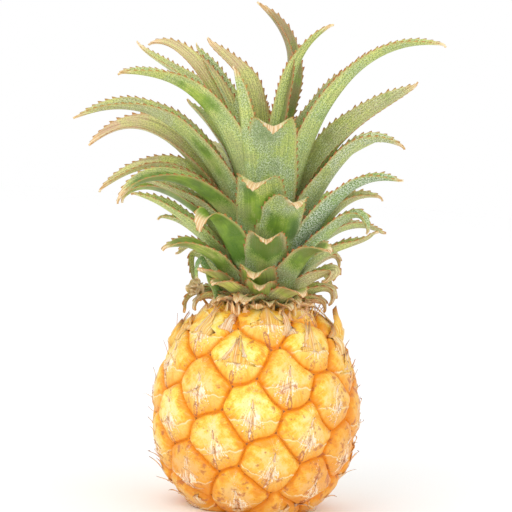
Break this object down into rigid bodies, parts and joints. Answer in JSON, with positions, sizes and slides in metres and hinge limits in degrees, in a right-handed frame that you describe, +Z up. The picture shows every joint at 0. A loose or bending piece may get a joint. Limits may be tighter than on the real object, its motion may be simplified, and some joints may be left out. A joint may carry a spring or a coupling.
{
  "type": "pineapple",
  "caption": "Small ripe pineapple standing upright, with spined eyes over the fruit and a leafy crown of channelled, toothed leaves.",
  "frame": {"origin": "centre of the cut stalk's flat face, on the surface that the fruit stands on", "axes": "+Z up along the fruit's axis to the crown, +X to the right and -Y to the front as pictured"},
  "size_m": [0.1557, 0.1093, 0.221],
  "materials": {
    "fruit": "waxy ripe rind, satin",
    "crown": "leaf green with a pale scurf, satin",
    "cut_stalk": "dry cut fibre, matt"
  },
  "bodies": {
    "root": {"fruit": "fruit", "crown": "crown", "cut_stalk": "cut_stalk"}
  },
  "joints": []
}
